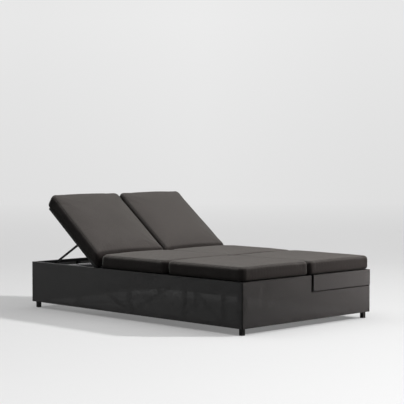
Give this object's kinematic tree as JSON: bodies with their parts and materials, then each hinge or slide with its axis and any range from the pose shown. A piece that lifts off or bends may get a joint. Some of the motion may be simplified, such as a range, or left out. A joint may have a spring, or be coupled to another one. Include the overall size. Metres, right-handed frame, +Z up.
{
  "type": "double chaise lounger",
  "caption": "Low double chaise lounger with mesh-sided base, loose cushions, separately reclining propped backs and a pull-out tray in the right half of the foot end.",
  "frame": {"origin": "on the floor under the middle of the base", "axes": "+Z up, +Y towards the head end, +X to the right seen from the foot end"},
  "size_m": [1.2, 2, 0.7874],
  "materials": {
    "woven_mesh": "dark grey plastic-coated yarn woven flat, soft sheen",
    "seat_fabric": "matt dark grey woven outdoor fabric over foam",
    "pads": "matt",
    "fasteners": "plain",
    "legs": "satin black powder coat",
    "tray_metal": "dark powder coat",
    "frame": "satin dark powder coat"
  },
  "bodies": {
    "base": {"centre_beam": "frame", "centre_leg": "legs", "cross_rails": "frame", "foot_left_leg": "legs", "foot_right_leg": "legs", "foot_wall_low_rail": "frame", "foot_wall_mesh": "woven_mesh", "foot_wall_posts": "frame", "foot_wall_sill_rail": "frame", "foot_wall_top_rail": "frame", "head_left_leg": "legs", "head_right_leg": "legs", "head_wall_low_rail": "frame", "head_wall_mesh": "woven_mesh", "head_wall_posts": "frame", "head_wall_top_rail": "frame", "hinge_ears": "frame", "hinge_pins": "fasteners", "left_foot_cushion": "seat_fabric", "left_hinge_rail": "frame", "left_ledger": "frame", "left_middle_cushion": "seat_fabric", "left_seat_deck": "frame", "left_wall_braces": "frame", "left_wall_low_rail": "frame", "left_wall_mesh": "woven_mesh", "left_wall_posts": "frame", "left_wall_top_rail": "frame", "leg_bolts": "fasteners", "leg_pads": "pads", "prop_racks": "frame", "right_foot_cushion": "seat_fabric", "right_hinge_rail": "frame", "right_ledger": "frame", "right_middle_cushion": "seat_fabric", "right_seat_deck": "frame", "right_wall_braces": "frame", "right_wall_low_rail": "frame", "right_wall_mesh": "woven_mesh", "right_wall_posts": "frame", "right_wall_top_rail": "frame", "tray_runners": "tray_metal"},
    "back_left": {"left_back_cushion": "seat_fabric", "left_back_frame": "frame", "left_prop_brackets": "frame", "left_prop_pins": "fasteners"},
    "back_right": {"right_back_cushion": "seat_fabric", "right_back_frame": "frame", "right_prop_brackets": "frame", "right_prop_pins": "fasteners"},
    "prop_left": {"left_prop_arms": "frame", "left_prop_rod": "fasteners"},
    "prop_right": {"right_prop_arms": "frame", "right_prop_rod": "fasteners"},
    "tray": {"tray": "tray_metal", "tray_front": "frame", "tray_front_mesh": "woven_mesh", "tray_slides": "tray_metal"}
  },
  "joints": [
    {"name": "left_back_hinge", "type": "hinge", "parent": "base", "child": "back_left", "pos_m": [-0.29, 0.325, 0.3035], "axis": [1, 0, 0], "range_deg": [-37.5, 12.5]},
    {"name": "left_prop_hinge", "type": "hinge", "parent": "back_left", "child": "prop_left", "pos_m": [-0.29, 0.56053, 0.4565], "axis": [1, 0, 0], "range_deg": [-22.3, 66.7]},
    {"name": "right_back_hinge", "type": "hinge", "parent": "base", "child": "back_right", "pos_m": [0.29, 0.325, 0.3035], "axis": [1, 0, 0], "range_deg": [-37.5, 12.5]},
    {"name": "right_prop_hinge", "type": "hinge", "parent": "back_right", "child": "prop_right", "pos_m": [0.29, 0.56053, 0.4565], "axis": [1, 0, 0], "range_deg": [-22.3, 66.7]},
    {"name": "tray_slide", "type": "slide", "parent": "base", "child": "tray", "axis": [0, -1, 0], "range_m": [0, 0.35]}
  ],
  "couplings": [
    {"joint": "left_prop_hinge", "follows": "left_back_hinge", "ratio": -1.775},
    {"joint": "right_prop_hinge", "follows": "right_back_hinge", "ratio": -1.775}
  ]
}
